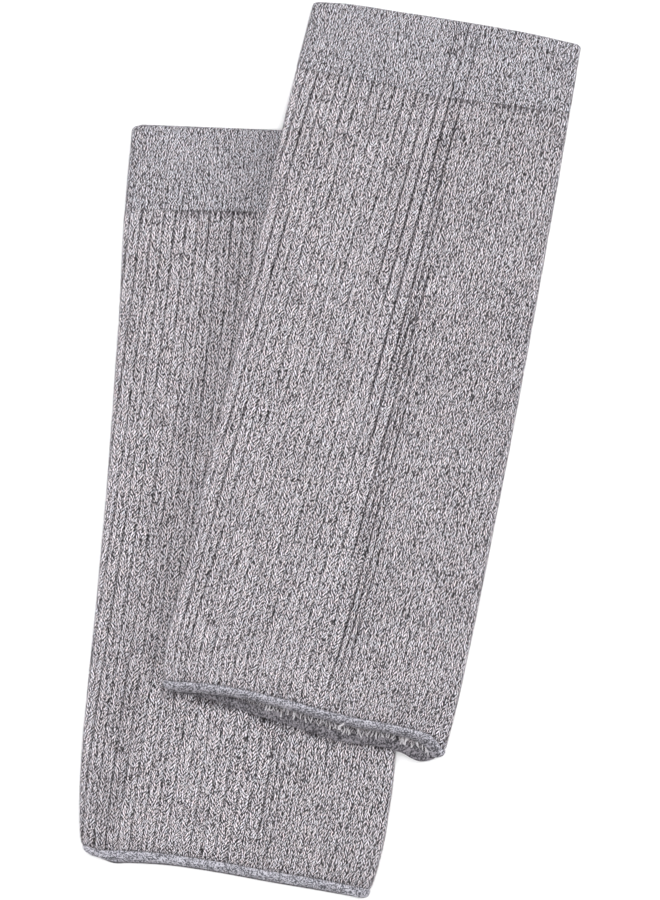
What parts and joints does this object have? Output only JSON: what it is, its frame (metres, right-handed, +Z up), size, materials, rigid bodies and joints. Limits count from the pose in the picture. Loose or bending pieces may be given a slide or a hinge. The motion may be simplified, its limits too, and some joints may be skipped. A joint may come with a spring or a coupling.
{
  "type": "pair of knee warmers",
  "caption": "Knitted knee warmers laid flat, one crossed over the other, with a plain welt, a part-ribbed leg tube and a narrow rolled hem.",
  "frame": {"origin": "middle of the laid pair's plan, on the surface it lies on", "axes": "+Z up from the surface, +Y towards the welts, +X to the right as the pair is seen from above"},
  "size_m": [0.2371, 0.4233, 0.0104],
  "materials": {
    "marl_rib": "matte grey marl knit, ribbed and plain",
    "marl_welt": "matte grey marl knit, fine and plain",
    "hem_yarn": "matte blue-grey overedge yarn"
  },
  "bodies": {
    "root": {"upper_welt": "marl_welt", "upper_body": "marl_rib", "upper_hem": "hem_yarn", "under_welt": "marl_welt", "under_body": "marl_rib", "under_hem": "hem_yarn"}
  },
  "joints": []
}
